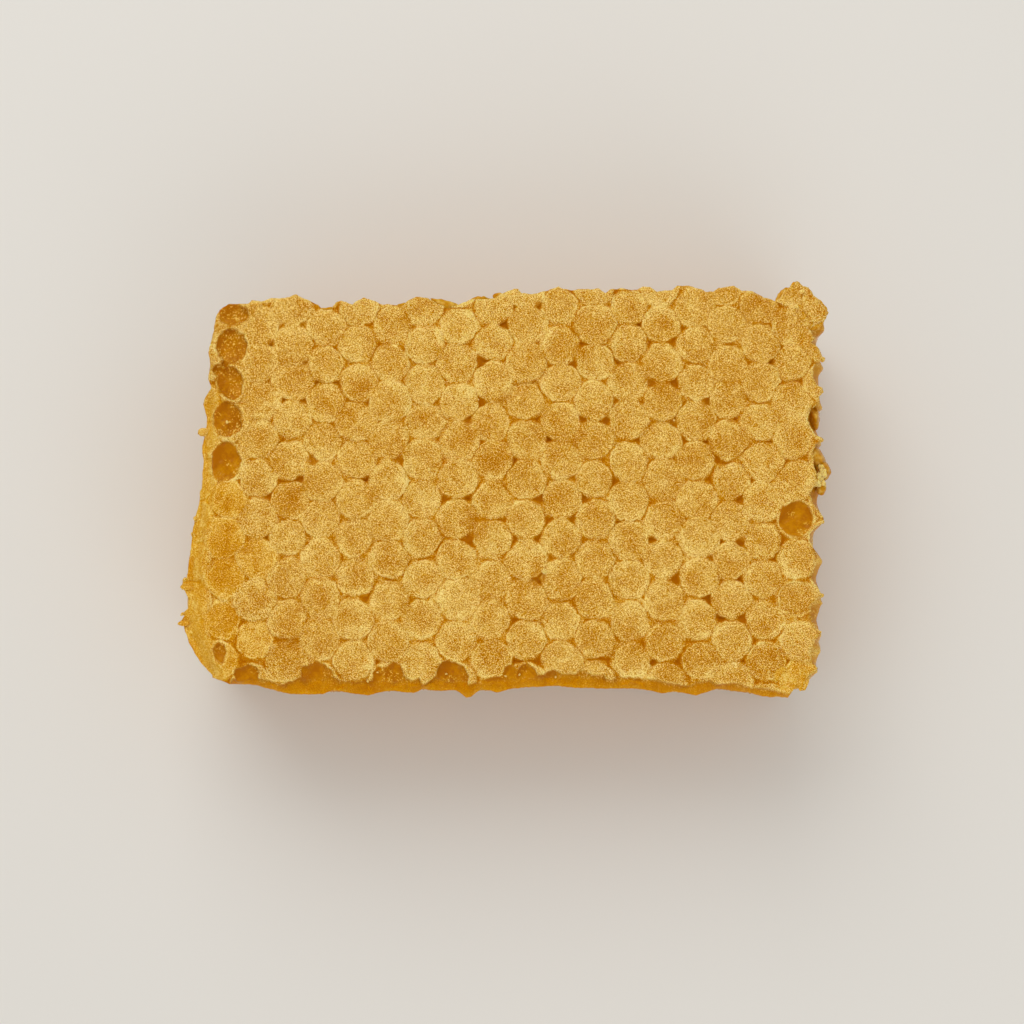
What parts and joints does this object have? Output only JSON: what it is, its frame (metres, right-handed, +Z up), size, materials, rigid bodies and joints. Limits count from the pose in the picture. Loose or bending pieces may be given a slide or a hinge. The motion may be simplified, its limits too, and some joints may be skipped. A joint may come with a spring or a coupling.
{
  "type": "honeycomb piece",
  "caption": "Slab of capped honeycomb cut from a full comb: two layers of hexagonal wax cells filled with honey, with ragged cut sides, lying on its flat lower face.",
  "frame": {"origin": "middle of the slab's footprint, on the surface that it lies on", "axes": "+X along the slab's long side, across the columns of cells; +Y along the columns of cells, towards the far long side; +Z up, out of the capped face that shows"},
  "size_m": [0.0869, 0.0574, 0.028],
  "materials": {
    "wax": "frosted golden beeswax cappings over honey, grainy and slightly glossy",
    "honey": "wet amber honey in open and cut cells"
  },
  "bodies": {
    "root": {"honeycomb": "wax"}
  },
  "joints": []
}
